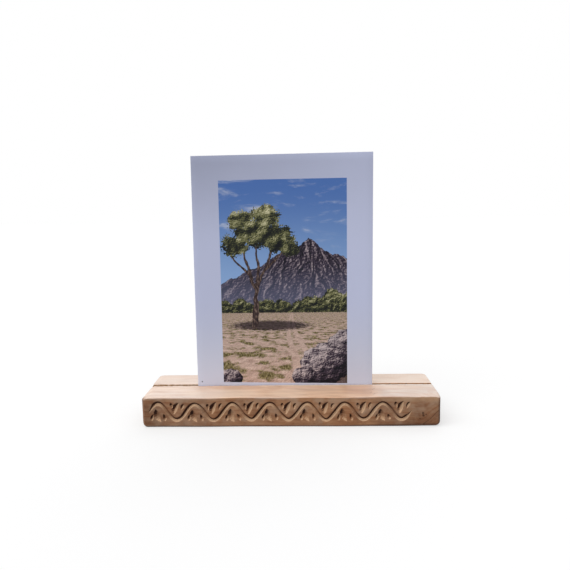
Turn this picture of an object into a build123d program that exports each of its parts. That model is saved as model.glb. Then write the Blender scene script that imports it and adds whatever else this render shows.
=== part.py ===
"""A hand-shaped wooden block with a saw kerf along its top, and the photograph card that stands in the kerf.

Millimetres. +X runs along the block, +Y from its carved front to its back, +Z up.
The origin is the middle of the block's underside.
"""

import os

from build123d import *

# The card: a postcard-size photographic print on stout board
card_width = 105.0
card_height = 148.0
card_thickness = 1.0
card_offset = -3.7  # from the middle of the block to the middle of the card, along the kerf

# The block: one length of pale hardwood
block_length = 169.5
block_depth = 46.0
block_height = 17.4

# The front face was dressed by hand, so it wanders a little in plan. Each value is how far the face
# stands behind its foremost line, at even steps from the left end to the right.
front_setbacks = (0.4, 0.6, 0.0, 1.1, 0.8, 0.6, 0.0, 0.7, 0.4, 0.5)

# Softened edges
front_corner_radius = 1.2
back_corner_radius = 3.0
top_arris_radius = 0.6
bottom_arris_radius = 1.4

# The kerf: one straight saw cut from end to end, as wide as the card and its running clearance
kerf_depth = 11.6
kerf_offset = 1.4  # from the middle of the block to the middle of the kerf, towards the back
card_clearance = 0.2  # between the card and each wall of the kerf
kerf_lip = 0.3  # flare that eases the mouth, on each side

# Places worked out from the sizes
left_end = -block_length / 2
right_end = block_length / 2
front_line = -block_depth / 2
back_line = block_depth / 2
kerf_floor = block_height - kerf_depth
kerf_width = card_thickness + 2 * card_clearance
kerf_front = kerf_offset - kerf_width / 2
kerf_back = kerf_offset + kerf_width / 2

# Wood block: the plan outline, with its wandering front, drawn up to the block's height
front_step = block_length / (len(front_setbacks) - 1)
front_points = [
    (left_end + step * front_step, front_line + setback)
    for step, setback in enumerate(front_setbacks)
]

with BuildPart() as wood_block:
    with BuildSketch(Plane.XY) as plan:
        with BuildLine() as outline:
            front_edge = Spline(*front_points)
            Polyline(front_edge @ 1, (right_end, back_line), (left_end, back_line), front_edge @ 0)
        make_face()
    extrude(amount=block_height)

    # The upright corners, then the arrises round the top and the foot
    upright_corners = wood_block.edges().filter_by(Axis.Z)
    fillet(upright_corners.group_by(Axis.Y)[-1], back_corner_radius)
    fillet(wood_block.edges().filter_by(Axis.Z).filter_by_position(Axis.Y, front_line, 0), front_corner_radius)
    fillet(wood_block.faces().sort_by(Axis.Z)[-1].edges(), top_arris_radius)
    fillet(wood_block.faces().sort_by(Axis.Z)[0].edges(), bottom_arris_radius)

    # The kerf, sawn through both ends, with its mouth eased
    with BuildSketch(Plane.YZ) as kerf_section:
        with BuildLine():
            Polyline(
                (kerf_front, kerf_floor),
                (kerf_back, kerf_floor),
                (kerf_back, block_height - kerf_lip),
                (kerf_back + kerf_lip, block_height),
                (kerf_front - kerf_lip, block_height),
                (kerf_front, block_height - kerf_lip),
                close=True,
            )
        make_face()
    extrude(amount=block_length / 2, both=True, mode=Mode.SUBTRACT)

wood_block.part.label = "wood_block"

# Photo card: a flat sheet that stands on the floor of the kerf, midway between its walls
with BuildPart() as photo_card:
    with BuildSketch(Plane.XZ.offset(-kerf_offset)) as card_face:
        with Locations((card_offset, kerf_floor)):
            Rectangle(card_width, card_height, align=(Align.CENTER, Align.MIN))
    extrude(amount=card_thickness / 2, both=True)

photo_card.part.label = "photo_card"

os.makedirs("parts", exist_ok=True)
for piece in (wood_block.part, photo_card.part):
    export_step(piece, f"parts/{piece.label}.step")
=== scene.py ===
import math
import random

import bmesh
import bpy
import numpy as np
from mathutils import Matrix, Vector, noise


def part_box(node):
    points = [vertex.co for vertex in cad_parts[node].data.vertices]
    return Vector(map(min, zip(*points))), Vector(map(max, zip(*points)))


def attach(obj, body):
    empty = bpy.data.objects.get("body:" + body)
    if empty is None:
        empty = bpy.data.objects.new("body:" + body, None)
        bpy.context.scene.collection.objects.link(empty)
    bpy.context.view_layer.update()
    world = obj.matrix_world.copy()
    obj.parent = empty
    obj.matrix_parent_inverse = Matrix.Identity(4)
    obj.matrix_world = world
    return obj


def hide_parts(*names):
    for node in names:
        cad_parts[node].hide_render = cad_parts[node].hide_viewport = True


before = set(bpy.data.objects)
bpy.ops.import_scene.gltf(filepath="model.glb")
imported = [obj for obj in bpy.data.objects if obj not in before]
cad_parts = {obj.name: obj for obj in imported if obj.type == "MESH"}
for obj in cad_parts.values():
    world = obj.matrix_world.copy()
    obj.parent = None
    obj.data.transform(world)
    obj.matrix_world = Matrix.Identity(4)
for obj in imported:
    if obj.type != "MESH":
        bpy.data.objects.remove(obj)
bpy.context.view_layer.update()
mm = 0.001
hair = 0.01 * mm  # closer than this counts as the same place
print("frame loaded:", ", ".join(sorted(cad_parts)))


def tint(red, green, blue):  # screen colour, 0 to 255, to the linear colour that the nodes take
    parts = [value / 255 for value in (red, green, blue)]
    return tuple(p / 12.92 if p < 0.04045 else ((p + 0.055) / 1.055) ** 2.4 for p in parts)


def plug(value, socket):  # a field is linked, a number or colour is typed in
    if isinstance(value, Field):
        value.tree.links.new(value.socket, socket)
    elif socket.type == "RGBA":
        socket.default_value = (*value, 1)
    else:
        socket.default_value = value


class Field:  # one output of a node, with arithmetic, so that a pattern reads like a formula
    def __init__(self, tree, socket):
        self.tree = tree
        self.socket = socket

    def run(self, operation, *others):
        node = self.tree.nodes.new("ShaderNodeMath")
        node.operation = operation
        for value, socket in zip((self, *others), node.inputs):
            plug(value, socket)
        return Field(self.tree, node.outputs[0])

    def __add__(self, other):
        return self.run("ADD", other)

    def __sub__(self, other):
        return self.run("SUBTRACT", other)

    def __mul__(self, other):
        return self.run("MULTIPLY", other)

    def __truediv__(self, other):
        return self.run("DIVIDE", other)

    def __pow__(self, other):
        return self.run("POWER", other)

    def __abs__(self):
        return self.run("ABSOLUTE")

    def flip(self):  # 1 where it was 0
        return self * -1 + 1

    def ease(self, start, end):  # 0 before start, 1 after end, smooth between
        node = self.tree.nodes.new("ShaderNodeMapRange")
        node.interpolation_type = "SMOOTHSTEP"
        for value, name in ((self, "Value"), (start, "From Min"), (end, "From Max")):
            plug(value, node.inputs[name])
        return Field(self.tree, node.outputs[0])


class Finish:  # one material, and what its pattern is made from
    def __init__(self, name):
        self.material = bpy.data.materials.new(name)
        self.material.use_nodes = True
        self.tree = self.material.node_tree
        self.shader = self.tree.nodes["Principled BSDF"]

    def node(self, kind, output, settings=None, **inputs):
        made = self.tree.nodes.new(kind)
        for name, value in (settings or {}).items():
            setattr(made, name, value)
        for name, value in inputs.items():
            plug(value, made.inputs[name])
        return Field(self.tree, made.outputs[output])

    def split(self, vector):
        parts = self.tree.nodes.new("ShaderNodeSeparateXYZ")
        plug(vector, parts.inputs[0])
        return [Field(self.tree, socket) for socket in parts.outputs]

    def place(self):  # millimetres in the object's own frame
        return [part * 1000 for part in self.split(self.node("ShaderNodeTexCoord", "Object"))]

    def facing(self):
        return self.split(self.node("ShaderNodeTexCoord", "Normal"))

    def painted(self, name):  # a value stored on the mesh
        return self.node("ShaderNodeAttribute", "Fac", {"attribute_name": name})

    def point(self, x, y, z=0.0):
        return self.node("ShaderNodeCombineXYZ", 0, X=x, Y=y, Z=z)

    def cloud(self, x, y, z=0.0, detail=2.0, rough=0.5, twist=0.0):  # 0 to 1, mostly near a half
        return self.node("ShaderNodeTexNoise", 0, Vector=self.point(x, y, z), Scale=1.0,
                         Detail=detail, Roughness=rough, Distortion=twist)

    def blend(self, share, first, second, how="MIX"):
        made = self.tree.nodes.new("ShaderNodeMix")
        made.data_type = "RGBA"
        made.blend_type = how
        plug(share, made.inputs[0])
        plug(first, made.inputs[6])  # 6, 7 and output 2 are the node's colours
        plug(second, made.inputs[7])
        return Field(self.tree, made.outputs[2])

    def ramp(self, share, *stops):  # stops are (place, colour), from low to high
        made = self.tree.nodes.new("ShaderNodeValToRGB")
        plug(share, made.inputs[0])
        points = made.color_ramp.elements
        while len(points) < len(stops):
            points.new(1.0)
        for point, (where, colour) in zip(points, stops):
            point.position = where
            point.color = (*colour, 1)
        return Field(self.tree, made.outputs[0])

    def use(self, colour, rough, height, depth, gloss=0.5):  # depth is how tall the relief is, in metres
        plug(colour, self.shader.inputs["Base Color"])
        plug(rough, self.shader.inputs["Roughness"])
        plug(gloss, self.shader.inputs["Specular IOR Level"])
        bump = self.node("ShaderNodeBump", 0, Height=height, Distance=depth, Strength=1.0)
        plug(bump, self.shader.inputs["Normal"])
        return self.material


def limb(px, pz, start, end, thick):  # 1 on a straight tapering line
    (x0, z0), (x1, z1) = start, end
    dx, dz = x1 - x0, z1 - z0
    t = ((px - x0) * dx + (pz - z0) * dz) / (dx * dx + dz * dz)
    t = t.run("MAXIMUM", 0.0).run("MINIMUM", 1.0)
    away = ((px - x0 - t * dx) ** 2 + (pz - z0 - t * dz) ** 2) ** 0.5
    return (t * (-0.5 * thick) + thick - away).ease(-0.12, 0.12)


def oval(px, pz, x, z, reachX, reachZ):  # 1 in the middle, 0 at the rim, less outside
    return (((px - x) / reachX) ** 2 + ((pz - z) / reachZ) ** 2).flip()


def either(parts):  # the greatest of them
    joined = parts[0]
    for part in parts[1:]:
        joined = joined.run("MAXIMUM", part)
    return joined


def meshFrom(bm, name):
    mesh = bpy.data.meshes.new(name)
    bm.to_mesh(mesh)
    bm.free()
    return mesh


def addObject(name, data):
    made = bpy.data.objects.new(name, data)
    bpy.context.scene.collection.objects.link(made)
    return made


# Wood: rings about a heart that lay below the block, fibres along it, a knot at the right of the front
wood = {
    "pale": tint(236, 217, 204),
    "warm": tint(252, 207, 168),
    "grey": tint(208, 192, 181),
    # painted light: the top paler at the right behind the kerf, and in patches in front of the card
    "paleLight": tint(250, 224, 200),
    "late": tint(192, 142, 108),  # the dark part of a ring
    "pore": tint(116, 76, 54),
    "heart": (11.0, -52.0),  # across and up, mm
    "ringWidth": 2.6,
    "grainRelief": 0.06 * mm,
    "knotPlace": (74.4, 4.6),  # along and up on the front, mm
    "knotReach": (6.6, 5.4),
    "knotSpecks": (  # along, up, reach, mm
        (74.4, 7.9, 0.7), (74.6, 6.5, 0.7), (76.2, 7.0, 0.4), (72.8, 4.6, 0.4),
    ),
    "knot": tint(124, 74, 44),
    "knotSpeck": tint(50, 26, 16),
    "sweep": 7.0,  # how far the grain climbs past the knot, mm
    "streaks": (  # dark lines that climb with it: from, to, half width, mm
        ((74.6, 1.6), (78.6, 4.6), 0.34), ((78.6, 4.6), (83.4, 9.8), 0.3),
    ),
    "checks": (  # drying cracks in the top, the same way
        ((45.9, -14.8), (46.8, -13.9), 0.34),
        ((47.7, -9.4), (49.8, -6.0), 0.26),
        ((47.0, -18.2), (49.8, -15.0), 0.26),
    ),
    "cardShadowBand": (-46.0, 47.0),  # the card's shadow is painted warmer on the top between these, and the top is greyer past the right one, mm
    "bandFades": (9.0, 7.0),  # half of how far its left and right ends fade
    "topPatches": (  # soft patches on the top, mostly painted light in front of the card and painted shade beside it: middle and reach in mm, along and across, tone, strength
        ((-40.0, -15.0), (26.0, 11.0), "paleLight", 0.6), ((-2.0, -15.0), (13.0, 9.0), "paleLight", 0.4),
        ((-34.0, -3.0), (22.0, 7.0), "late", 0.28), ((42.0, -7.0), (15.0, 17.0), "late", 0.46),
        ((-9.5, -4.0), (6.0, 6.0), "late", 0.3), ((49.0, -14.0), (10.0, 9.0), "pore", 0.16),
    ),
    "sideToneAndShade": tint(194, 168, 144),  # the sides are darker than the sanded top, partly oiled wood and partly painted shade: multiplied by this
    "redder": tint(150, 92, 62),
    "sunned": tint(190, 162, 138),
    "paintedHighlight": tint(220, 182, 146),  # painted highlight: gouge walls turned to the light, and the carved face's upper right
    "cutShadeAndChar": tint(48, 21, 12),  # painted shade on gouge walls turned from the light, and char in the kerf
    "endTone": tint(206, 178, 154),
    # painted shade on the rounded front corners at both ends
    "cornerShade": tint(104, 74, 56),
    # painted shade with dirt: at the foot, and darker towards the ends of the front
    "shadeAndGrime": tint(110, 78, 58),
    "scorch": tint(164, 110, 50),  # where the saw ran
    "scorchLeft": tint(144, 100, 38),
    "kerfShade": tint(118, 78, 52),  # painted shade deeper down in the kerf
    "lipHighlight": tint(250, 238, 226),  # painted highlight along the kerf's front lip
    "topGloss": 0.7,
    "sideGloss": 0.15,
    "soil": (1.5, 1.1),  # how high the foot's painted shade and dirt reach, and how much higher at the right, mm
    "fades": {  # where a tone comes in: none of it at the first place, all of it at the second, mm
        "nearFront": (-6.0, -19.0),
        "pastKnot": (-3.0, 12.0),  # from the knot
        "behindKerf": (0.0, 3.0),
        "paleLightRight": (-10.0, 50.0),
        "shadeLeft": (-30.0, -60.0),
        "wornLeft": (-81.5, -83.5),
        "wornFront": (-19.6, -21.2),
        "duskRight": (45.0, 80.0),
        "duskFoot": (15.0, -2.0),
        "duskLeft": (-68.0, -81.0),
        "duskBelow": (17.0, 12.0),
        "dimLeft": (-15.0, -55.0),
        "highlightRight": (40.0, 70.0),
        "highlightHead": (12.5, 17.0),
        "handled": (4.0, 12.0),
        "cornerRight": (82.2, 84.2),
        "cornerBelow": (18.5, 12.0),
        "cornerLeft": (-82.8, -84.2),
        "cornerHead": (11.0, 16.0),
        "cornerFront": (-16.5, -21.5),
        "footShadeRight": (20.0, 80.0),
        "sootyLip": (-0.6, -0.3),  # from the kerf's front wall
        "lipHighlightStart": (-1.9, -1.3),
        "lipHighlightEnd": (-0.4, -0.7),
        "smoke": (1.8, 0.3),  # from its back wall
        "patchyLeft": (20.0, -40.0),
        "patchyHead": (9.0, 15.0),
        "scorchedLeft": (10.0, -40.0),
        "scorchedHead": (14.5, 16.9),
        "lipHighlightRight": (-40.0, 40.0),
    },
}


def makeWood(name, gloss):
    f = Finish(name)
    fades = wood["fades"]
    x, y, z = f.place()
    nx, _, nz = f.facing()
    across, up = wood["heart"]
    onTop = nz.ease(0.5, 0.95)
    onFront = f.painted("front")

    # the knot: a smudge, only near the front face
    knotX, knotZ = wood["knotPlace"]
    reachX, reachZ = wood["knotReach"]
    nearFront = y.ease(*fades["nearFront"])
    smoke = f.cloud(x * 0.35, y * 0.2, z * 0.35, detail=4, rough=0.6)
    away = (((x - knotX) / reachX) ** 2 + ((z - knotZ) / reachZ) ** 2) ** 0.5
    knot = (away + (smoke - 0.5) * 1.2).ease(1.1, 0.1) * nearFront

    # growth rings, bent by slow waves and lifted past the knot
    sway = (f.cloud(x * 0.011, y * 0.035, z * 0.035, detail=2) - 0.5) * 9.0
    ripple = f.cloud(x * 0.05, y * 0.22, z * 0.22, detail=2) - 0.5
    lift = (x - knotX).ease(*fades["pastKnot"]) * nearFront * wood["sweep"]
    radius = ((y - across) ** 2 + (z - up) ** 2) ** 0.5 + sway + ripple + knot * 1.5 - lift
    turn = (radius / wood["ringWidth"]).run("FRACT")
    strength = f.cloud(radius * 0.31, 3.7, detail=1).ease(0.3, 0.75)
    late = turn.ease(0.35, 0.93) * turn.ease(1.0, 0.95) * (strength * 0.8 + 0.2)

    # fibres and pores, long along the block, faint where the top was sanded
    climb = z - lift
    fibre = f.cloud(x * 0.05, y * 1.7, climb * 1.7, detail=5, rough=0.62)
    pore = f.cloud(x * 0.22, y * 4.2, climb * 4.2, detail=2, rough=0.6).ease(0.6, 0.72)
    patch = f.cloud(x * 0.018, y * 0.05, z * 0.07, detail=3, rough=0.55, twist=0.4)
    figure = f.cloud(x * 0.07 + y * 0.09, y * 0.16, z * 0.12, detail=3, rough=0.5)
    plain = onTop * -0.45 + 1.0

    # bare wood: warm along the middle, where the card's shadow is painted in, grey at the right, then
    # rings, fibres and pores
    leftEnd, rightEnd = wood["cardShadowBand"]
    leftFade, rightFade = wood["bandFades"]
    along = x + (patch - 0.5) * 24.0 + (figure - 0.5) * 18.0
    cardShadow = along.ease(leftEnd - leftFade, leftEnd + leftFade) * (onFront * -0.5 + 1.0)
    cardShadow = cardShadow * along.ease(rightEnd + rightFade, rightEnd - rightFade)
    past = along.ease(rightEnd - rightFade, rightEnd + rightFade)
    colour = f.blend(past * 0.8, wood["pale"], wood["grey"])
    # warm in random patches, and as the painted shadow of the card across the top
    colour = f.blend(patch.ease(0.3, 0.7) * 0.3 + cardShadow * 0.6, colour, wood["warm"])
    colour = f.blend(figure.ease(0.45, 0.75) * 0.4, colour, wood["late"])
    colour = f.blend(fibre.ease(0.42, 0.72) * plain * 0.55, colour, wood["late"])
    colour = f.blend(late * plain * 0.6, colour, wood["late"])
    colour = f.blend(pore * plain * 0.4, colour, wood["pore"])

    # the top: checks, painted light behind the kerf at the right and painted shade at its left, soft
    # patches
    frayX = (smoke - 0.5) * 2.0
    frayY = (fibre - 0.5) * 3.0
    check = either([limb(x + frayX, y + frayY, *line) for line in wood["checks"]])
    colour = f.blend(check * onTop * 0.65, colour, wood["pore"])
    behind = y.ease(*fades["behindKerf"]) * onTop
    colour = f.blend(behind * x.ease(*fades["paleLightRight"]) * 0.32, colour, wood["paleLight"])
    colour = f.blend(behind * x.ease(*fades["shadeLeft"]) * 0.25, colour, wood["grey"])
    for (middleX, middleY), (wideX, wideY), tone, share in wood["topPatches"]:
        soft = oval(x, y, middleX, middleY, wideX, wideY).ease(0.0, 0.8) * onTop
        colour = f.blend(soft * share, colour, wood[tone])

    # the oiled sides, darkened partly by painted shade, and the end grain, which drinks more oil
    upright = abs(nz).ease(0.75, 0.3) * 0.8
    worn = x.ease(*fades["wornLeft"]) * y.ease(*fades["wornFront"])  # the rubbed corner at the left
    colour = f.blend(either([onFront, upright, worn]), colour, wood["sideToneAndShade"], "MULTIPLY")
    endGrain = abs(nx).ease(0.3, 0.8) * onFront.flip() * upright
    colour = f.blend(endGrain, colour, wood["endTone"], "MULTIPLY")

    # the carved face: blotches, dusk at its ends, redder towards the foot
    blotch = f.cloud(x * 0.16, y * 0.1, z * 0.2, detail=4, rough=0.6)
    colour = f.blend(onFront * blotch.ease(0.42, 0.72) * 0.46, colour, wood["pore"])
    sun = f.cloud(x * 0.11, 9.0, z * 0.16, detail=4, rough=0.6) + z * 0.003
    colour = f.blend(onFront * sun.ease(0.46, 0.7) * 0.55, colour, wood["sunned"])
    uneven = z + (smoke - 0.5) * 8.0
    dusk = x.ease(*fades["duskRight"]) * uneven.ease(*fades["duskFoot"]) * 0.42
    dusk = dusk + x.ease(*fades["duskLeft"]) * z.ease(*fades["duskBelow"]) * 0.3
    dusk = dusk + x.ease(*fades["dimLeft"]) * 0.09
    colour = f.blend(onFront * dusk, colour, wood["shadeAndGrime"], "MULTIPLY")
    # painted highlight along the upper right of the carved face
    highlightBand = x.ease(*fades["highlightRight"]) * z.ease(*fades["highlightHead"])
    colour = f.blend(onFront * highlightBand * 0.42, colour, wood["paintedHighlight"])
    hue = f.cloud(x * 0.07, 5.0, z * 0.1, detail=3, rough=0.55)
    colour = f.blend(onFront * (hue + z * -0.012).ease(0.3, 0.6) * 0.18, colour, wood["redder"])

    # the knot with its streaks and specks, then the gouge cuts, with painted highlight on walls facing the
    # light and painted shade on walls turned away
    colour = f.blend(knot * 0.36, colour, wood["knot"])
    bent = f.cloud(x * 1.1, y * 0.2, z * 1.1, detail=3) - 0.5
    marks = knot * 0.1
    for line in wood["streaks"]:
        marks = marks.run("MAXIMUM", limb(x + bent, z + bent, *line) * 0.5)
    for speckX, speckZ, reach in wood["knotSpecks"]:
        speck = oval(x + bent, z - bent, speckX, speckZ, reach, reach).ease(-0.4, 0.6)
        marks = marks.run("MAXIMUM", speck * 0.75)
    colour = f.blend(marks * nearFront, colour, wood["knotSpeck"])
    cut = f.painted("cut").ease(0.03, 0.16)
    lit = nz * 0.9 - nx * 0.42
    colour = f.blend(cut * lit.ease(0.02, 0.4) * 0.85, colour, wood["paintedHighlight"])
    shadeVary = f.cloud(x * 0.6, y * 0.6, z * 0.6, detail=3).ease(0.2, 0.55)
    colour = f.blend(cut * lit.ease(0.08, -0.35) * (shadeVary * 0.2 + 0.8), colour, wood["cutShadeAndChar"])

    # handled edges are rubbed pale in places, the front corners get painted shade, and the foot gets
    # painted shade and dirt
    rub = f.cloud(x * 0.06, y * 0.3, z * 0.3, detail=4).ease(0.4, 0.65)
    colour = f.blend(f.painted("wear") * z.ease(*fades["handled"]) * rub * 0.35, colour, wood["pale"])
    shadedCorner = x.ease(*fades["cornerRight"]) * z.ease(*fades["cornerBelow"]) * 0.9
    shadedCorner = shadedCorner + x.ease(*fades["cornerLeft"]) * (z.ease(*fades["cornerHead"]) * 0.5 + 0.15)
    shadedCorner = shadedCorner * y.ease(*fades["cornerFront"])
    colour = f.blend(shadedCorner, colour, wood["cornerShade"], "MULTIPLY")
    footShadeHeight, footShadeMore = wood["soil"]
    shadedFoot = x.ease(*fades["footShadeRight"]) * footShadeMore + footShadeHeight
    colour = f.blend((z / shadedFoot).ease(1.0, 0.15), colour, wood["shadeAndGrime"], "MULTIPLY")

    # the saw's scorch inside the kerf and along its broken lip, painted shade deeper in the kerf, and a
    # painted highlight on its front lip
    fromLip = y - kerfFront / mm
    fromBack = y - kerfBack / mm
    leftward = x.ease(*fades["scorchedLeft"])
    sawn = f.painted("kerf").ease(0.4, 0.85) * fromLip.ease(*fades["sootyLip"])
    patchy = f.cloud(x * 0.45, y * 0.3, z * 0.3, detail=3, rough=0.7).ease(0.56, 0.4)
    patchy = patchy * x.ease(*fades["patchyLeft"]) * z.ease(*fades["patchyHead"])
    scorch = f.blend(leftward, wood["scorch"], wood["scorchLeft"])
    scorch = f.blend(z.ease(*fades["scorchedHead"]), wood["kerfShade"], scorch)
    deep = f.cloud(x * 0.2, 6.0, detail=3, rough=0.6) * 0.5 + 0.75
    colour = f.blend(sawn * deep * (patchy * -0.65 + 1.0), colour, scorch)
    charred = f.cloud(x * 0.7, 4.0, detail=3, rough=0.65).ease(0.46, 0.64)
    colour = f.blend(sawn * charred * 0.6, colour, wood["cutShadeAndChar"])
    smoked = f.cloud(x * 0.5, 8.0, detail=3, rough=0.6).ease(0.35, 0.6) * onTop
    smoked = smoked * fromBack.ease(*fades["smoke"]) * y.ease(kerfFront / mm, kerfBack / mm)
    colour = f.blend(smoked * (leftward * 0.5 + 0.15), colour, scorch)
    # painted highlight along the kerf's front lip
    spanShare = f.cloud(x * 0.13, 2.0, detail=3).ease(0.25, 0.5) * (x.ease(*fades["lipHighlightRight"]) * 0.6 + 0.4)
    lipHighlight = fromLip.ease(*fades["lipHighlightStart"]) * fromLip.ease(*fades["lipHighlightEnd"]) * onTop
    colour = f.blend(lipHighlight * spanShare * 0.65, colour, wood["lipHighlight"])

    rough = fibre * 0.25 + late * -0.08 + onFront * 0.15 + shadedCorner * 0.4 + 0.3
    height = (fibre * 0.5 + late * 0.25 - pore * 0.8) * plain
    return f.use(colour, rough, height, wood["grainRelief"], gloss)


# The block: a sawn, bevelled and cut bar, then shaped by moving its points
block = {
    "cornerFront": 1.7 * mm,
    "cornerBack": 3.0 * mm,
    "topArris": 0.6 * mm,
    "footArris": 1.4 * mm,
    "kerfLip": 0.3 * mm,
    "cardPlay": 0.2 * mm,  # between the card and each wall of the kerf
    "columns": 120,  # loop cuts along the block
    "crossCuts": 18,  # across it, on each side of the kerf
    "upperCuts": 9,  # up it, above the kerf's floor
    "lowerCuts": 4,  # and below
    "frontColumnCuts": 5,  # extra cuts in each cell of the carved face
    "frontRowCuts": 4,
    "lipCuts": 2,
    "sharpAngle": 55,  # edges that turn more than this stay crisp, degrees
    # hand work left no face flat: how deep it goes, its waves along, across and up, and a seed
    "hewnFront": (0.16 * mm, (34 * mm, 20 * mm, 8 * mm), 3.0),
    "hewnTop": (0.1 * mm, (45 * mm, 12 * mm, 20 * mm), 5.0),
    "hewnEnds": (0.12 * mm, (20 * mm, 7 * mm, 5 * mm), 6.0),
    "hewnBack": (0.2 * mm, (30 * mm, 20 * mm, 12 * mm), 8.0),
    "skin": 3.0 * mm,  # how far inside the top and the ends it fades out
    "backSkin": 4.0 * mm,
    "frontZone": 3.5 * mm,  # the CAD's front line wanders less than this
    "straightFoot": 0.65,  # the share of the front's wander that its foot doesn't follow
    "wearBand": (0.2 * mm, 1.6 * mm),  # edges are rubbed fully up to the first, and fade by the second
    "lipChips": 0.95 * mm,  # the most that breaks off the kerf's lips
    "chipWaves": (  # length along the lip, seed, share
        (11.0 * mm, 9.9, 0.3), (4.3 * mm, 3.87, 0.4), (1.7 * mm, 1.53, 0.3),
    ),
    "chipAcross": 300 * mm,  # so long that a chip is alike on both lips
    "chipSpan": 60 * mm,  # how far to the left the lips get rougher
    "footRound": (3.0 * mm, 2.5 * mm),  # how far in and how high the ends are rounded at the foot
    "footReach": 7.0 * mm,
    "leftTuck": 0.3 * mm,  # how far the left end leans in towards its foot
    "rightTuck": 0.4 * mm,  # the same at the right, in front of the kerf
    "squareReach": 8.0 * mm,  # how far behind the kerf that lean is gone
    "leftWorn": 0.78 * mm,  # how much is rubbed off the left end's upper edge, in front of the kerf
    "rightWorn": 0.75 * mm,  # and off the upper front corner at the right
    "wornReach": 4.0 * mm,
    "mouthWorn": 0.6 * mm,  # how far the left end is worn in at the mouth of the kerf
    "mouthReach": 4.5 * mm,
    "wornFoot": 0.35 * mm,  # how much is rubbed off the front's foot at the right
    "wornFootSpan": (55 * mm, 84 * mm),
    "wornFootHeight": 4.0 * mm,
}

# The carving: a waving stem with a leaf and two nicks in each bend, all V cuts made with a gouge
carving = {
    "start": -80.5 * mm,
    "end": 68.0 * mm,
    "head": 15.0 * mm,
    "foot": 3.0 * mm,
    "waves": 7,
    "stepsPerWave": 28,
    "stemWidth": 1.25 * mm,  # widths are from the middle of a cut to its edge
    "stemDepth": 1.5 * mm,
    "stemUneven": 0.18,
    "stemEnds": (0.15, 45.0),  # the share of its width at its ends, and how soon it is full
    "leafWidth": 1.9 * mm,
    "leafDepth": 1.6 * mm,
    "leafBase": (-1.3 * mm, -1.5 * mm),  # from the middle of a bend: along, and away from the stem
    "leafTip": (1.2 * mm, 0.9 * mm),  # along, and past the reach of the stem's bends
    "leafBend": -0.1,
    "leafFullest": 0.45,  # how far along it is widest
    "nickWidth": 1.05 * mm,
    "nickDepth": 1.25 * mm,
    "nickBase": (2.9 * mm, 1.4 * mm),  # as for a leaf, with one nick at each side
    "nickTip": (3.9 * mm, 0.3 * mm),
    "nickSlant": 0.4 * mm,  # both tips stand this much further right
    "nickBend": 0.05,
    "nickFullest": 0.62,
    "bluntEnd": 0.12,  # the share of its width at the ends of a leaf or nick
    "cutSteps": 9,
    "roundBottom": 0.8,  # the share of its depth where a cut starts to round out
    "shallowing": 0.8,  # how much shallower a cut gets as it narrows
    "lopsided": -0.12,  # how much steeper the side towards the light was cut
    "wander": 0.35 * mm,
    "seed": 11,
}

low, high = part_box("wood_block")
cardLow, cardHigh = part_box("photo_card")
length = high.x - low.x
top = high.z
back = high.y
front = -back  # the foremost line; the CAD face wanders behind it
kerfFront = cardLow.y - block["cardPlay"]
kerfBack = cardHigh.y + block["cardPlay"]
kerfFloor = cardLow.z


def edgesAlong(bm, axis, fits):  # edges that run along one axis, picked by their middle and length
    picked = []
    for edge in bm.edges:
        first, second = (vert.co for vert in edge.verts)
        step = second - first
        if abs(step[axis]) > 0.98 * step.length and fits((first + second) / 2, step.length):
            picked.append(edge)
    return picked


def roundOver(bm, edges, radius, segments):
    bmesh.ops.bevel(bm, geom=edges, offset=radius, segments=segments,
                    profile=0.5, affect="EDGES", material=-1)


def loopCut(bm, edges, cuts):
    bmesh.ops.subdivide_edges(bm, edges=edges, cuts=cuts, use_grid_fill=True)


def sawnBar():
    bm = bmesh.new()
    bmesh.ops.create_cube(bm, size=1.0)
    bmesh.ops.scale(bm, vec=(length, back - front, top), verts=bm.verts)
    bmesh.ops.translate(bm, vec=(0, (back + front) / 2, top / 2), verts=bm.verts)

    # the kerf: cut the skin along its walls and floor, lift out the waste, line it
    planes = [((0, wall, 0), (0, 1, 0)) for wall in (kerfFront, kerfBack)]
    planes.append(((0, 0, kerfFloor), (0, 0, 1)))
    for where, normal in planes:
        skin = bm.verts[:] + bm.edges[:] + bm.faces[:]
        bmesh.ops.bisect_plane(bm, geom=skin, plane_co=where, plane_no=normal)
    waste = []
    for face in bm.faces:
        middle = face.calc_center_median()
        if kerfFront < middle.y < kerfBack and middle.z > kerfFloor:
            waste.append(face)
    bmesh.ops.delete(bm, geom=waste, context="FACES")
    ends = [e for e in bm.edges if e.is_boundary and abs(e.verts[0].co.x - e.verts[1].co.x) < hair]
    bmesh.ops.bridge_loops(bm, edges=ends)
    bmesh.ops.recalc_face_normals(bm, faces=bm.faces)
    return bm


def softenEdges(bm):
    atEnd = length / 2 - hair
    corners = edgesAlong(bm, 2, lambda m, n: abs(m.x) > atEnd and m.y > back - hair)
    roundOver(bm, corners, block["cornerBack"], 6)
    corners = edgesAlong(bm, 2, lambda m, n: abs(m.x) > atEnd and m.y < front + hair)
    roundOver(bm, corners, block["cornerFront"], 4)
    for level, radius, segments in ((top, block["topArris"], 3), (0.0, block["footArris"], 4)):
        rim = []
        for edge in bm.edges:
            middle = (edge.verts[0].co + edge.verts[1].co) / 2
            flat = all(abs(vert.co.z - level) < hair for vert in edge.verts)
            upright = any(abs(face.normal.z) < 0.1 for face in edge.link_faces)
            lip = kerfFront - hair < middle.y < kerfBack + hair and abs(middle.x) < atEnd
            if flat and upright and not lip:
                rim.append(edge)
        roundOver(bm, rim, radius, segments)
    walls = (kerfFront, kerfBack)
    lips = edgesAlong(bm, 0, lambda m, n: abs(m.z - top) < hair
                      and min(abs(m.y - wall) for wall in walls) < hair)
    roundOver(bm, lips, block["kerfLip"], 2)
    bmesh.ops.remove_doubles(bm, verts=bm.verts, dist=hair)


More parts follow.
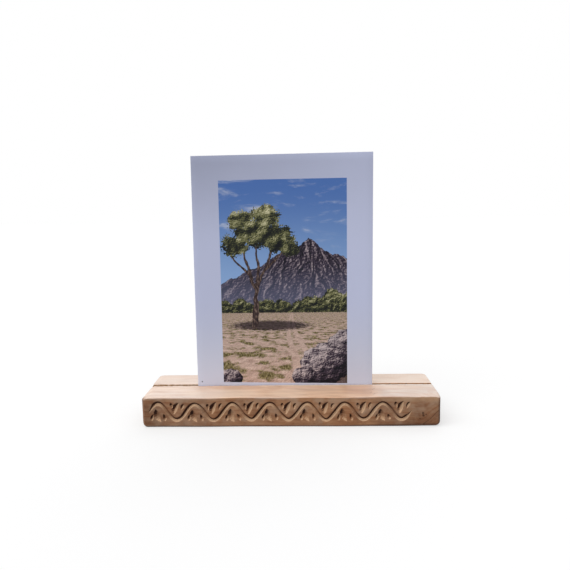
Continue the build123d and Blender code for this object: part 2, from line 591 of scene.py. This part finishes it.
def cutGrid(bm):
    crossEdge, tallEdge, lowEdge = 10 * mm, 7 * mm, 3 * mm  # lengths that tell the edges apart
    loopCut(bm, edgesAlong(bm, 0, lambda m, n: n > 0.8 * length), block["columns"])
    loopCut(bm, edgesAlong(bm, 1, lambda m, n: n > crossEdge), block["crossCuts"])
    loopCut(bm, edgesAlong(bm, 2, lambda m, n: n > tallEdge), block["upperCuts"])
    loopCut(bm, edgesAlong(bm, 2, lambda m, n: lowEdge < n < tallEdge), block["lowerCuts"])
    # a finer grid on the carved face and along the kerf's lips
    for axis, cuts in ((0, block["frontColumnCuts"]), (2, block["frontRowCuts"])):
        loopCut(bm, edgesAlong(bm, axis, lambda m, n: m.y < front + hair), cuts)
    lipZone = block["kerfLip"] + hair
    lips = edgesAlong(bm, 0, lambda m, n: m.z > top - lipZone
                      and kerfFront - lipZone < m.y < kerfBack + lipZone)
    loopCut(bm, lips, block["lipCuts"])


def taperedCut(base, tip, bend, width, depth, fullest):  # a leaf or nick, swelling and narrowing
    share = np.linspace(0, 1, carving["cutSteps"])
    run = tip - base
    across = np.array((-run[1], run[0]))
    points = base + np.outer(share, run) + np.outer(np.sin(math.pi * share) * bend, across)
    swell = np.where(share < fullest, share / fullest, (1 - share) / (1 - fullest))
    blunt = carving["bluntEnd"]
    return points, width * (blunt + (1 - blunt) * np.sin(swell * math.pi / 2)), depth


def vineCuts():  # each cut is its line on the face, its width along the line, and its depth
    rng = random.Random(carving["seed"])

    def near(x, z):
        offX = rng.uniform(-1, 1) * carving["wander"]
        offZ = rng.uniform(-1, 1) * carving["wander"]
        return np.array((x + offX, z + offZ))

    # the stem
    span = carving["end"] - carving["start"]
    middle = (carving["head"] + carving["foot"]) / 2
    sway = (carving["head"] - carving["foot"]) / 2 - carving["stemWidth"]
    share = np.linspace(0, 1, carving["waves"] * carving["stepsPerWave"] + 1)
    phase = share * carving["waves"] * 2 * math.pi
    wobble = np.array([noise.noise((s * 40, 0.5, 2.0)) for s in share])
    stemX = carving["start"] + span * share
    stemZ = middle + sway * np.sin(phase) + wobble * carving["wander"]
    endWidth, swell = carving["stemEnds"]
    thin = np.minimum(1, np.minimum(share, 1 - share) * swell + endWidth)
    widths = carving["stemWidth"] * thin * (1 + carving["stemUneven"] * wobble)
    cuts = [(np.array((stemX, stemZ)).T, widths, carving["stemDepth"])]

    # a leaf in each bend, with a nick at each side of it
    leaf = (carving["leafWidth"], carving["leafDepth"], carving["leafFullest"])
    nick = (carving["nickWidth"], carving["nickDepth"], carving["nickFullest"])
    for bend in range(2 * carving["waves"]):
        x = carving["start"] + span * (bend + 0.5) / (2 * carving["waves"])
        up = 1 if bend % 2 == 0 else -1  # the stem passes above a leaf, then below the next
        baseX, baseZ = carving["leafBase"]
        tipX, tipZ = carving["leafTip"]
        base = near(x + baseX, middle - up * baseZ)
        tip = near(x + tipX, middle - up * (sway + tipZ))
        cuts.append(taperedCut(base, tip, carving["leafBend"] * up, *leaf))
        baseX, baseZ = carving["nickBase"]
        tipX, tipZ = carving["nickTip"]
        for side in (-1, 1):
            base = near(x + side * baseX, middle - up * baseZ)
            tip = near(x + side * tipX + carving["nickSlant"], middle - up * (sway + tipZ))
            cuts.append(taperedCut(base, tip, carving["nickBend"] * side, *nick))
    return cuts


def gougeDepth(x, z):  # how deep the carving goes at each point of the face
    depth = np.zeros_like(x)
    away = np.array((1, -1)) / math.sqrt(2)  # down and to the right, away from the light
    bottom = carving["roundBottom"]
    for points, widths, deepest in vineCuts():
        widest = widths.max()
        for step in range(len(points) - 1):
            first, run = points[step], points[step + 1] - points[step]
            reach = np.linalg.norm(run)
            along = run / reach
            side = np.array((-along[1], along[0]))
            zone = reach + 2 * widest
            close = np.flatnonzero((abs(x - first[0]) < zone) & (abs(z - first[1]) < zone))
            dx, dz = x[close] - first[0], z[close] - first[1]
            travel = dx * along[0] + dz * along[1]
            off = dx * side[0] + dz * side[1]
            over = np.maximum(np.maximum(-travel, travel - reach), 0)
            here = np.interp(travel / reach, (0, 1), widths[step:step + 2])
            skew = 1 + np.sign(off) * carving["lopsided"] * (side @ away)
            share = 1 - np.sqrt((off / (here * skew)) ** 2 + (over / here) ** 2)
            share = np.where(share > bottom, bottom + (share - bottom) * 0.5, share)
            cut = np.clip(share, 0, 1) * deepest * (here / widest) ** carving["shallowing"]
            depth[close] = np.maximum(depth[close], cut)
    return depth


def waves(points, size, seed):  # slow noise from 0 to 1 at each point
    sx, sy, sz = size
    return np.array([0.5 + 0.5 * noise.noise((x / sx, y / sy, z / sz + seed)) for x, y, z in points])


def hewn(points, face):  # how far hand work took each point in from a face
    depth, size, seed = block[face]
    return depth * waves(points, size, seed)


def rise(values, start, end):  # 0 before start, 1 after end, smooth between
    t = np.clip((values - start) / (end - start), 0, 1)
    return t * t * (3 - 2 * t)


def shapeBlock(bm):  # hand work: the front's wander, flats that aren't flat, chips and the carving
    points = np.array([vert.co[:] for vert in bm.verts])
    sawnX, sawnY, sawnZ = points.T
    x, y, z = points.T.copy()
    onFront = y < front + hair
    frontShare = np.clip((kerfFront - y) / (kerfFront - front), 0, 1)
    inKerf = (y > kerfFront - hair) & (y < kerfBack + hair) & (z > kerfFloor - hair)
    edge = np.array((x + length / 2, length / 2 - x, y - front, back - y, z, top - z))
    wear = 1 - rise(np.sort(edge, axis=0)[1], *block["wearBand"])

    # the CAD's own front line, read off the face's upper edge
    level = top - block["topArris"]
    line = sorted((v.co.x, v.co.y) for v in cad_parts["wood_block"].data.vertices
                  if abs(v.co.z - level) < 5 * hair and v.co.y < front + block["frontZone"])
    lineX, lineY = np.array(line).T
    inset = np.maximum(np.interp(x, lineX, lineY) - front, 0)
    y = y + inset * frontShare * (1 - block["straightFoot"] * (1 - z / top))

    # uneven faces, and the front's foot rubbed at the right
    y = y + hewn(points, "hewnFront") * rise(frontShare, 0.8, 1)
    y = y - hewn(points, "hewnBack") * rise(y, back - block["backSkin"], back)
    z = z - hewn(points, "hewnTop") * rise(z, top - block["skin"], top)
    spanShare = rise(x, *block["wornFootSpan"]) * rise(frontShare, 0.85, 1)
    z = z + block["wornFoot"] * spanShare * (1 - rise(z, 0, block["wornFootHeight"]))

    # the ends: a slight lean, the kerf's mouth worn in, the upper edges rubbed down, the feet rounded
    atEnd = rise(abs(x), length / 2 - block["skin"], length / 2)
    square = rise(sawnY, kerfBack, kerfBack + block["squareReach"])
    rightLean = block["rightTuck"] * (1 - 0.5 * z / top) * (1 - square)
    tuck = np.where(x < 0, block["leftTuck"] * (1 - z / top), rightLean)
    endPush = (hewn(points, "hewnEnds") + tuck) * atEnd
    mouth = 1 - rise(abs(sawnY - (kerfFront + kerfBack) / 2), 0, block["mouthReach"])
    mouth = mouth * rise(z, top - block["mouthReach"], top) * (x < 0)
    endPush = endPush + block["mouthWorn"] * mouth * atEnd
    reach = block["wornReach"]
    nearHead = rise(z, top - reach, top) * (1 - rise(length / 2 - abs(x), 0, reach))
    leftWorn = block["leftWorn"] * rise(frontShare, 0, 0.02)
    rightWorn = block["rightWorn"] * rise(frontShare, 0.7, 1)
    z = z - np.where(x < 0, leftWorn, rightWorn) * nearHead
    inward, height = block["footRound"]
    arris = block["footArris"]
    under = np.maximum(1 - sawnZ / height, 0)
    rounded = inward * (1 - np.sqrt(1 - under ** 2))
    already = arris - np.sqrt(arris ** 2 - np.maximum(arris - sawnZ, 0) ** 2)  # what the arris took off
    nearFoot = (rounded - already) * rise(abs(x), length / 2 - block["footReach"], length / 2 - arris)
    x = np.sign(x) * (abs(x) - endPush - nearFoot)

    # the saw left the kerf's lips ragged, most of all at the left
    lipZone = block["kerfLip"] + hair
    lip = (sawnZ > top - lipZone) & (sawnY > kerfFront - lipZone) & (sawnY < kerfBack + lipZone)
    wide = block["chipAcross"]
    chips = sum(waves(points, (size, wide, wide), seed) * share for size, seed, share in block["chipWaves"])
    rough = 0.3 + 0.7 * rise(-sawnX, 0.0, block["chipSpan"])
    ragged = (0.2 + 0.8 * rise(chips, 0.4, 0.66)) * rough * lip * block["lipChips"]
    onRim = sawnZ > top - hair
    behind = sawnY > (kerfFront + kerfBack) / 2
    y = y + ragged * np.where(behind, 1.0, -0.5) * onRim
    z = z - ragged * np.where(onRim, 0.3, 0.6)

    depth = np.zeros_like(x)
    depth[onFront] = gougeDepth(x[onFront], z[onFront])
    y = y + depth
    for vert, place in zip(bm.verts, np.array((x, y, z)).T):
        vert.co = place
    return {
        "front": onFront * 1.0,
        "cut": depth / carving["stemDepth"],
        "wear": wear,
        "kerf": np.maximum(inKerf, lip) * 1.0,
    }


def makeBlock():
    bm = sawnBar()
    softenEdges(bm)
    cutGrid(bm)
    marks = shapeBlock(bm)
    bmesh.ops.recalc_face_normals(bm, faces=bm.faces)
    mesh = meshFrom(bm, "carved_block")
    for name, values in marks.items():
        mesh.attributes.new(name, "FLOAT", "POINT").data.foreach_set("value", values.astype(np.float32))
    mesh.shade_smooth()
    mesh.set_sharp_from_angle(angle=math.radians(block["sharpAngle"]))
    mesh.materials.append(makeWood("sanded_top", wood["topGloss"]))
    mesh.materials.append(makeWood("oiled_sides", wood["sideGloss"]))
    for face in mesh.polygons:  # what lies flat and isn't carved was sanded
        carved = all(marks["front"][number] for number in face.vertices)
        face.material_index = 1 if carved or face.normal.z < 0.5 else 0
    made = addObject("carved_block", mesh)
    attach(made, "block")
    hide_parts("wood_block")
    print("block carved:", len(mesh.polygons), "faces")


makeBlock()


# The card: stout board, printed on one side
card = {
    "edgeRound": 0.12 * mm,
    "columns": 24,
    "rows": 34,
    "bow": 0.3 * mm,  # how far the middle of its top stands back
    "warp": (2.0 * mm, -2.0 * mm),  # how far its top corners lean back, left and right
    "warpCurve": 1.5,  # past 1, most of both comes near the head
    "paper": tint(215, 222, 253),
    "paperShade": tint(208, 215, 246),
    "shadeAcross": (60.0, -60.0),  # painted shade: the paper darkens towards the left, from and to across, mm
    "paperHeadShade": tint(160, 165, 188),  # painted shade towards its head, most of all at the left
    "headFade": (95.0, 165.0),
    "headShare": (0.52, -0.0046),  # how strong that shade is in the middle, and the change for each mm to the right
    # painted warm light, bounced from the wood onto the paper near its foot
    "paperFootBounce": tint(217, 222, 243),
    "footFade": (75.0, 25.0),
    "backTone": tint(220, 222, 240),
    "backShade": tint(212, 214, 232),
    "edgeTone": tint(196, 192, 190),
    "edgeLine": tint(150, 146, 146),
    "gloss": 0.12,
    "printTooth": 0.008 * mm,  # relief of the surface
    "backTooth": 0.012 * mm,
    "edgeTooth": 0.02 * mm,
    "picture": (-40.5, 33.9, 18.6, 139.6),  # left, right, foot and head of the print, mm
    "printFade": 0.06,  # half of how far its edge fades, mm
    "footTilt": -0.016,  # the print's foot runs down to the right
    "fleck": (-53.6, 19.65, 0.42),  # a fleck of dirt: across, up and reach, mm
    "fleckTone": tint(66, 64, 80),
}


def makePrint():
    f = Finish("printed_card")
    x, _, z = f.place()
    left, right, foot, head = card["picture"]
    tooth = f.cloud(x * 3.0, z * 3.0, detail=4, rough=0.6)
    mottle = f.cloud(x * 0.05, z * 0.05, detail=3)
    # painted shade across the paper, with mottle and tooth
    shade = x.ease(*card["shadeAcross"]) + (mottle - 0.5) * 0.4 + (tooth - 0.5) * 0.3
    paper = f.blend(shade, card["paper"], card["paperShade"])
    share, change = card["headShare"]
    headShade = (z + (mottle - 0.5) * 10).ease(*card["headFade"]) * (x * change + share)
    paper = f.blend(headShade, paper, card["paperHeadShade"])
    paper = f.blend(z.ease(*card["footFade"]), paper, card["paperFootBounce"])
    fleckX, fleckZ, reach = card["fleck"]
    fleck = oval(x, z, fleckX, fleckZ, reach, reach).ease(0.0, 0.5)
    paper = f.blend(fleck, paper, card["fleckTone"])
    fade = card["printFade"]
    inside = x.ease(left - fade, left + fade) * x.ease(right + fade, right - fade)
    above = z - x * card["footTilt"]
    inside = inside * above.ease(foot - fade, foot + fade) * z.ease(head + fade, head - fade)
    picture = paintView(f, x - left, z - foot)
    colour = f.blend(inside, paper, picture)
    rough = tooth * 0.12 + 0.42 - inside * 0.08
    return f.use(colour, rough, tooth, card["printTooth"], card["gloss"])


# The print: open country with a tree, a track and boulders
# Places are in mm from its lower left corner
view = {
    "skyHigh": tint(86, 126, 198),
    "skyLow": tint(156, 192, 242),
    "skyFade": (50, 121),
    "cloud": tint(244, 247, 254),
    "cloudFade": (66, 100),
    "horizon": 43.0,
    "middle": 37,
    "peak": (52.0, 86.0),
    "peakFall": 0.5,  # how steeply the ridge runs down from it
    "hill": [(0.24, tint(8, 6, 12)), (0.5, tint(62, 52, 68)), (0.8, tint(196, 180, 186))],
    "haze": tint(132, 138, 172),
    "hazeFade": (76, 44),
    "leaves": [
        (0.32, tint(6, 7, 4)), (0.48, tint(46, 50, 32)),
        (0.6, tint(128, 128, 82)), (0.8, tint(236, 230, 190)),
    ],
    "soil": [(0.28, tint(96, 70, 60)), (0.48, tint(204, 174, 160)), (0.7, tint(255, 238, 228))],
    "grass": [(0.34, tint(36, 34, 20)), (0.5, tint(116, 106, 66)), (0.72, tint(214, 200, 152))],
    "bark": [(0.3, tint(16, 12, 12)), (0.5, tint(66, 50, 46)), (0.75, tint(164, 140, 126))],
    "rock": [(0.2, tint(6, 5, 8)), (0.48, tint(72, 60, 74)), (0.8, tint(214, 200, 202))],
    "shadow": tint(64, 54, 70),
    "treeShadow": (29, 35.2, 25, 3.2),  # middle across, middle up, reach across, reach up
    "bushTop": 50.0,
    "bushFade": (40, 74),  # they stand higher at the right
    "trackEnd": 42,
    "limbs": [  # from, to, thickness at the foot
        ((19.5, 35.0), (21.5, 60.0), 1.9),
        ((21.0, 56.0), (11.5, 84.0), 1.1),
        ((21.5, 58.0), (31.0, 80.0), 1.2),
        ((26.0, 68.0), (38.0, 80.0), 0.8),
        ((16.5, 66.0), (6.0, 77.0), 0.7),
        ((22.0, 62.0), (22.0, 86.0), 0.9),
    ],
    "crown": [  # placed as the tree's shadow is
        (21, 91, 15, 10), (9, 83, 9, 7.5), (34, 87, 11, 9),
        (27, 100, 10, 7), (13, 97, 9, 7), (41, 81, 7, 5.5),
    ],
    "boulders": [(74, 23, 11, 10), (61, 11, 15, 13), (49, 4, 8, 6), (4, 3, 8, 6)],
}


def lump(f, px, pz, scale, seed, detail=4, reach=0.4):  # bumps lit from the upper left, 0.5 where flat
    here = f.cloud(px * scale, pz * scale, seed, detail, 0.58)
    uphill = f.cloud(px * scale - 0.6 * reach, pz * scale + 0.8 * reach, seed, detail, 0.58)
    return (here - uphill) * 1.5 + 0.5


def crest(f, across, down, seed):  # sharp ridges
    return abs(f.cloud(across, down, seed, detail=6, rough=0.56) - 0.5) * -2 + 1


def paintView(f, px, pz):
    colour = f.blend(pz.ease(*view["skyFade"]), view["skyLow"], view["skyHigh"])
    wisps = f.cloud(px * 0.03, pz * 0.1, 2.0, detail=6, rough=0.62, twist=0.5).ease(0.5, 0.76)
    colour = f.blend(wisps * pz.ease(*view["cloudFade"]) * 0.85, colour, view["cloud"])

    # a mountain with gullies fanning down from its peak, hazy towards its foot
    peakX, peakZ = view["peak"]
    jagged = (f.cloud(px * 0.07, 7.0, detail=5, rough=0.55) - 0.5) * 16
    ridge = abs(px - peakX) * -view["peakFall"] + peakZ + jagged
    fall = pz * -1 + (peakZ + 12)
    fan = (px - peakX) / (fall + 6) * 5 + (f.cloud(px * 0.09, pz * 0.09, 33.0, detail=4) - 0.5) * 1.4
    slopes = (crest(f, fan, fall * 0.06, 31.0) - crest(f, fan - 0.11, fall * 0.06, 31.0)) * 1.5 + 0.46
    slopes = slopes + (lump(f, px, pz, 0.7, 35.0, detail=3) - 0.5) * 0.5
    hill = f.blend(pz.ease(*view["hazeFade"]) * 0.45, f.ramp(slopes, *view["hill"]), view["haze"])
    colour = f.blend((ridge - pz).ease(-0.15, 0.15), colour, hill)

    # bushes in front of it
    edge = (f.cloud(px * 0.13, 3.0, detail=3) - 0.5) * 16
    edge = edge + (f.cloud(px * 0.9, pz * 0.9, 5.0, detail=3) - 0.5) * 5
    bushes = (edge + px.ease(*view["bushFade"]) * 6 + view["bushTop"] - pz).ease(-0.2, 0.4)
    foliage = lump(f, px, pz, 0.3, 11.0) * 0.55 + lump(f, px, pz, 1.3, 12.0, detail=2) * 0.45
    colour = f.blend(bushes, colour, f.ramp(foliage + (pz - 49) * 0.012, *view["leaves"]))

    # the ground, drawn out towards the horizon
    drop = pz * -1 + view["horizon"]
    nearness = (drop + 1.2).run("MAXIMUM", 0.4)
    gx = (px - view["middle"]) / nearness * 11
    gz = nearness ** -1 * 900
    dust = f.cloud(gx * 0.6, gz * 0.6, 21.0, detail=6, rough=0.62)
    gravel = lump(f, gx, gz, 3.2, 22.0, detail=4, reach=0.3)
    ground = f.ramp(dust * 0.5 + gravel * 0.5, *view["soil"])
    blades = f.cloud(px * 1.7, pz * 0.55, 17.0, detail=4, rough=0.65)
    tufts = f.cloud(gx * 0.22, gz * 0.22, 8.0, detail=5, rough=0.6)
    turf = (tufts * 0.85 + blades * 0.15).ease(0.48, 0.56)
    bend = (pz * 0.085 + 0.6).run("SINE") * drop * 0.24 + view["trackEnd"]
    rut = abs(px - bend) / (drop * 0.27 + 0.5) + (dust - 0.5) * 0.6
    track = rut.ease(1.0, 0.8) * (rut.ease(0.2, 0.34) * 0.75 + 0.25)
    ground = f.blend(turf * track.flip(), ground, f.ramp(blades, *view["grass"]))
    dapple = (f.cloud(gx * 0.45, gz * 0.45, 25.0, detail=5, rough=0.6) - 0.5) * 3.0
    shade = (oval(px, pz, *view["treeShadow"]) + dapple).ease(0.0, 0.3)
    ground = f.blend(shade * 0.9, ground, view["shadow"], "MULTIPLY")
    colour = f.blend((drop + (blades - 0.5) * 1.5).ease(-0.1, 0.25), colour, ground)

    # the tree
    bentX = px + (f.cloud(px * 0.12, pz * 0.12, 4.0, detail=2) - 0.5) * 4
    branches = either([limb(bentX, pz, *branch) for branch in view["limbs"]])
    barkTone = f.cloud(bentX * 1.6, pz * 0.35, 6.0, detail=4)
    colour = f.blend(branches, colour, f.ramp(barkTone, *view["bark"]))
    crown = either([oval(px, pz, *clump) for clump in view["crown"]])
    leafy = crown + (f.cloud(px * 0.2, pz * 0.2, 14.0, detail=3) - 0.5) * 1.6
    leafy = leafy + (f.cloud(px * 1.0, pz * 1.0, 15.0, detail=4) - 0.5) * 1.9
    clumps = lump(f, px, pz, 0.16, 16.0, detail=3, reach=0.5) * 0.5
    clumps = clumps + lump(f, px, pz, 1.2, 18.0, detail=4) * 0.5
    leaves = f.ramp(clumps + (pz - 90) * 0.006, *view["leaves"])
    colour = f.blend(leafy.ease(0.12, 0.25), colour, leaves)

    # boulders, the farthest first
    for number, (x, z, reachX, reachZ) in enumerate(view["boulders"]):
        foot = oval(px, pz, x + 3, z - reachZ * 0.7, reachX * 1.2, reachZ * 0.4).ease(0.0, 0.6)
        colour = f.blend(foot * 0.85, colour, view["shadow"], "MULTIPLY")
        knobs = f.cloud(px * 0.14, pz * 0.14, 40.0 + number, detail=5)
        bulk = oval(px, pz, x, z, reachX, reachZ) + (knobs - 0.5) * 1.2
        lit = (pz - z) * (0.26 / reachZ) - (px - x) * (0.2 / reachX)
        lit = lit + bulk.run("MAXIMUM", 0.0) ** 0.5 * 0.2 + 0.3
        rugged = lump(f, px, pz, 0.2, 50.0 + number, detail=5)
        rugged = rugged + lump(f, px, pz, 0.9, 60.0 + number, detail=4) - 1
        colour = f.blend(bulk.ease(0.02, 0.08), colour, f.ramp(lit + rugged * 0.75, *view["rock"]))
    grain = f.cloud(px * 5.0, pz * 5.0, 9.0, detail=1)
    return f.blend((grain - 0.5) * 0.2 + 0.02, colour, view["haze"])


def makeCardBack():
    f = Finish("card_back")
    x, _, z = f.place()
    tooth = f.cloud(x * 3.0, z * 3.0, detail=4, rough=0.6)
    mottle = f.cloud(x * 0.06, z * 0.06, 4.0, detail=3)
    colour = f.blend(mottle.ease(0.3, 0.7) * 0.4 + tooth * 0.4, card["backTone"], card["backShade"])
    return f.use(colour, tooth * 0.15 + 0.55, tooth, card["backTooth"], card["gloss"])


def makeCardEdge():
    f = Finish("card_edge")
    x, y, z = f.place()
    plies = f.cloud(x * 0.3, y * 9.0, z * 0.3, detail=3)
    colour = f.blend(plies.ease(0.35, 0.7) * 0.8, card["edgeTone"], card["edgeLine"])
    return f.use(colour, plies * 0.1 + 0.7, plies, card["edgeTooth"])


def makeCard():
    size = cardHigh - cardLow
    bm = bmesh.new()
    bmesh.ops.create_cube(bm, size=1.0)
    bmesh.ops.scale(bm, vec=size, verts=bm.verts)
    bmesh.ops.translate(bm, vec=(cardHigh + cardLow) / 2, verts=bm.verts)
    roundOver(bm, bm.edges[:], card["edgeRound"], 2)
    loopCut(bm, edgesAlong(bm, 0, lambda m, n: n > size.x / 2), card["columns"])
    loopCut(bm, edgesAlong(bm, 2, lambda m, n: n > size.z / 2), card["rows"])
    leftLean, rightLean = card["warp"]
    for vert in bm.verts:
        across = (vert.co.x - cardLow.x) / size.x
        free = max(0.0, (vert.co.z - top) / (cardHigh.z - top))  # nothing bows inside the kerf
        lean = leftLean * (1 - across) + rightLean * across
        vert.co.y += (card["bow"] * math.sin(math.pi * across) + lean) * free ** card["warpCurve"]
    mesh = meshFrom(bm, "print_on_card")
    for material in (makePrint(), makeCardBack(), makeCardEdge()):
        mesh.materials.append(material)
    for face in mesh.polygons:
        face.material_index = 0 if face.normal.y < -0.7 else 1 if face.normal.y > 0.7 else 2
    mesh.shade_smooth()
    made = addObject("print_on_card", mesh)
    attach(made, "card")
    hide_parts("photo_card")
    print("card printed:", len(mesh.polygons), "faces")


makeCard()


# Studio: a pale floor, broad soft light from above, a white surround
studio = {
    "floorSize": 12.0,
    "floorTone": tint(250, 250, 250),
    "floorBounce": tint(160, 158, 155),
    "floorGlow": 0.55,  # share of plain white that the camera sees in the floor
    "skyLevel": 0.62,
    "lamps": (  # towards the lamp, how wide it looks in degrees, strength
        ((-0.5, -0.3, 0.8), 55, 1.35),
        ((0.2, 0.6, 0.75), 50, 0.45),
    ),
}


def seenRays(tree):  # 1 for rays that show the surround itself: straight, mirrored or through glass
    path = tree.nodes.new("ShaderNodeLightPath")
    seen = Field(tree, path.outputs["Is Camera Ray"])
    for name in ("Is Glossy Ray", "Is Transmission Ray"):
        seen = seen.run("MAXIMUM", Field(tree, path.outputs[name]))
    return seen


def makeFloor():
    bm = bmesh.new()
    bmesh.ops.create_grid(bm, x_segments=8, y_segments=8, size=studio["floorSize"] / 2)
    mesh = meshFrom(bm, "studio_floor")
    floor = addObject("studio_floor", mesh)
    f = Finish("pale_floor")
    seen = seenRays(f.tree)
    tone = f.blend(seen, studio["floorBounce"], studio["floorTone"])
    matt = f.node("ShaderNodeBsdfDiffuse", 0, Color=tone)
    glow = f.node("ShaderNodeEmission", 0, Strength=1.0)
    mixed = f.tree.nodes.new("ShaderNodeMixShader")
    for value, socket in zip((seen * studio["floorGlow"], matt, glow), mixed.inputs):
        plug(value, socket)
    f.tree.links.new(mixed.outputs[0], f.tree.nodes["Material Output"].inputs["Surface"])
    f.tree.nodes.remove(f.shader)
    mesh.materials.append(f.material)


def makeSurround():
    world = bpy.data.worlds.new("surround")
    bpy.context.scene.world = world
    world.use_nodes = True
    tree = world.node_tree
    sky = tree.nodes["Background"]
    sky.inputs["Color"].default_value = (1, 1, 1, 1)
    strength = seenRays(tree) * (1 - studio["skyLevel"]) + studio["skyLevel"]
    plug(strength, sky.inputs["Strength"])


def makeLamps():
    for number, (towards, width, strength) in enumerate(studio["lamps"]):
        data = bpy.data.lights.new(f"soft_lamp_{number}", "SUN")
        data.angle = math.radians(width)
        data.energy = strength
        lamp = addObject(f"soft_lamp_{number}", data)
        lamp.rotation_mode = "QUATERNION"
        lamp.rotation_quaternion = Vector(towards).to_track_quat("Z", "Y")


# Camera, set from the corners of the block and the card
shot = {
    "place": (9.1 * mm, -331.7 * mm, 121.8 * mm),
    "down": 7.49,  # degrees
    "right": -2.0,
    "lean": 0.98,
    "lens": 35.96,
}


def makeCamera():
    data = bpy.data.cameras.new("shot")
    data.sensor_width = 36.0
    data.lens = shot["lens"]
    data.clip_start = 0.01
    camera = addObject("shot", data)
    heading = Matrix.Rotation(-math.radians(shot["right"]), 4, "Z")
    pitch = Matrix.Rotation(math.radians(90 - shot["down"]), 4, "X")
    lean = Matrix.Rotation(-math.radians(shot["lean"]), 4, "Z")
    camera.matrix_world = Matrix.Translation(shot["place"]) @ heading @ pitch @ lean
    bpy.context.scene.camera = camera


makeFloor()
makeSurround()
makeLamps()
makeCamera()
bpy.context.scene.view_settings.view_transform = "Standard"
print("studio set")
